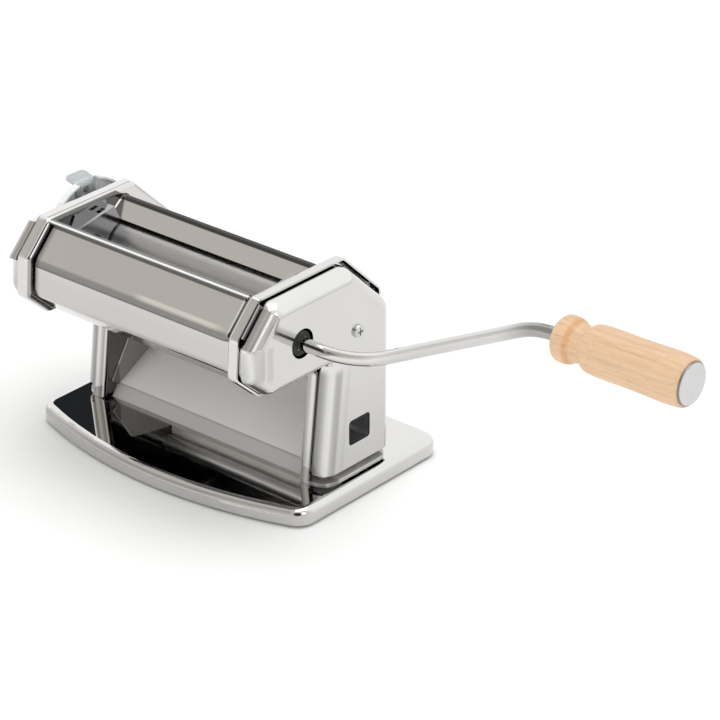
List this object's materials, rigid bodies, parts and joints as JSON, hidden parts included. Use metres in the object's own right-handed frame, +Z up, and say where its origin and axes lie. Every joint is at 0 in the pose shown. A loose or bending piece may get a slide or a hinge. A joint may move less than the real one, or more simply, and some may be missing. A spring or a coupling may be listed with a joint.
{
  "type": "pasta machine",
  "caption": "Hand cranked pasta roller with a bent steel body on a low tray base, a dial for the roller gap and a cranked rod with a turned wooden handle.",
  "frame": {"origin": "middle of the base at table height, half way between the side frames", "axes": "+X along the rollers towards the crank, +Y towards the back, +Z up"},
  "size_m": [0.4743, 0.1581, 0.1911],
  "materials": {
    "chrome_sheet": "polished chrome-plated steel sheet",
    "chrome_cover": "satin-bright chrome-plated drawn steel",
    "roller_metal": "anodised, finely turned",
    "zinc": "bluish zinc-plated",
    "steel": "plain",
    "spring_steel": "bright strip",
    "gear_steel": "sintered, oiled",
    "bearing_bronze": "sintered bronze",
    "rod_steel": "plated round bar",
    "beech": "sanded, lightly oiled",
    "cap_metal": "satin",
    "rubber": "matt"
  },
  "bodies": {
    "stand": {"base_tray": "chrome_sheet", "rubber_feet": "rubber", "foot_rivets": "steel", "side_frame_right": "chrome_sheet", "side_frame_left": "chrome_sheet", "side_cover_right": "chrome_cover", "side_cover_left": "chrome_cover", "screw_bracket_right": "steel", "screw_bracket_left": "steel", "cover_screws": "steel", "clamp_tube_right": "steel", "clamp_tube_left": "steel", "attachment_rail_right": "chrome_sheet", "attachment_rail_left": "chrome_sheet", "front_cover": "chrome_sheet", "rear_cover": "chrome_sheet", "chute": "chrome_sheet", "tie_rods": "steel", "tie_rod_screws": "steel", "roller_bushes": "bearing_bronze", "scraper_front": "spring_steel", "scraper_rear": "spring_steel", "dough_guide_right": "spring_steel", "dough_guide_left": "spring_steel"},
    "drive": {"roller_front": "roller_metal", "gear_front": "gear_steel", "drive_socket": "steel"},
    "crank": {"crank_rod": "rod_steel"},
    "handle": {"crank_handle": "beech", "handle_cap": "cap_metal"},
    "setting": {"eccentric_right": "steel", "eccentric_left": "steel", "link_rod": "steel", "dial_screw": "steel"},
    "dial_plate": {"dial": "zinc", "thickness_lever": "zinc", "lever_peg": "steel", "lever_pin": "steel"},
    "sleeves": {"bearing_sleeves": "bearing_bronze"},
    "rear_drive": {"roller_rear": "roller_metal", "gear_rear": "gear_steel"}
  },
  "joints": [
    {"name": "front_roller_turn", "type": "hinge", "parent": "stand", "child": "drive", "pos_m": [0, -0.0428, 0.114], "axis": [1, 0, 0], "continuous": true},
    {"name": "crank_pull", "type": "slide", "parent": "drive", "child": "crank", "axis": [1, 0, 0], "range_m": [0, 0.008]},
    {"name": "handle_spin", "type": "hinge", "parent": "crank", "child": "handle", "pos_m": [0.32, -0.0428, 0.177], "axis": [1, 0, 0], "continuous": true},
    {"name": "thickness_turn", "type": "hinge", "parent": "stand", "child": "setting", "pos_m": [0, -0.0108, 0.1122], "axis": [-1, 0, 0], "range_deg": [-22, 44]},
    {"name": "dial_pull", "type": "slide", "parent": "setting", "child": "dial_plate", "axis": [-1, 0, 0], "range_m": [0, 0.0025]},
    {"name": "sleeve_turn", "type": "hinge", "parent": "setting", "child": "sleeves", "pos_m": [0, -0.0108, 0.114], "axis": [-1, 0, 0], "range_deg": [-44, 22]},
    {"name": "rear_roller_turn", "type": "hinge", "parent": "sleeves", "child": "rear_drive", "pos_m": [0, -0.0108, 0.114], "axis": [1, 0, 0], "continuous": true}
  ],
  "couplings": [
    {"joint": "sleeve_turn", "follows": "thickness_turn", "ratio": -1},
    {"joint": "rear_roller_turn", "follows": "front_roller_turn", "ratio": -1}
  ]
}
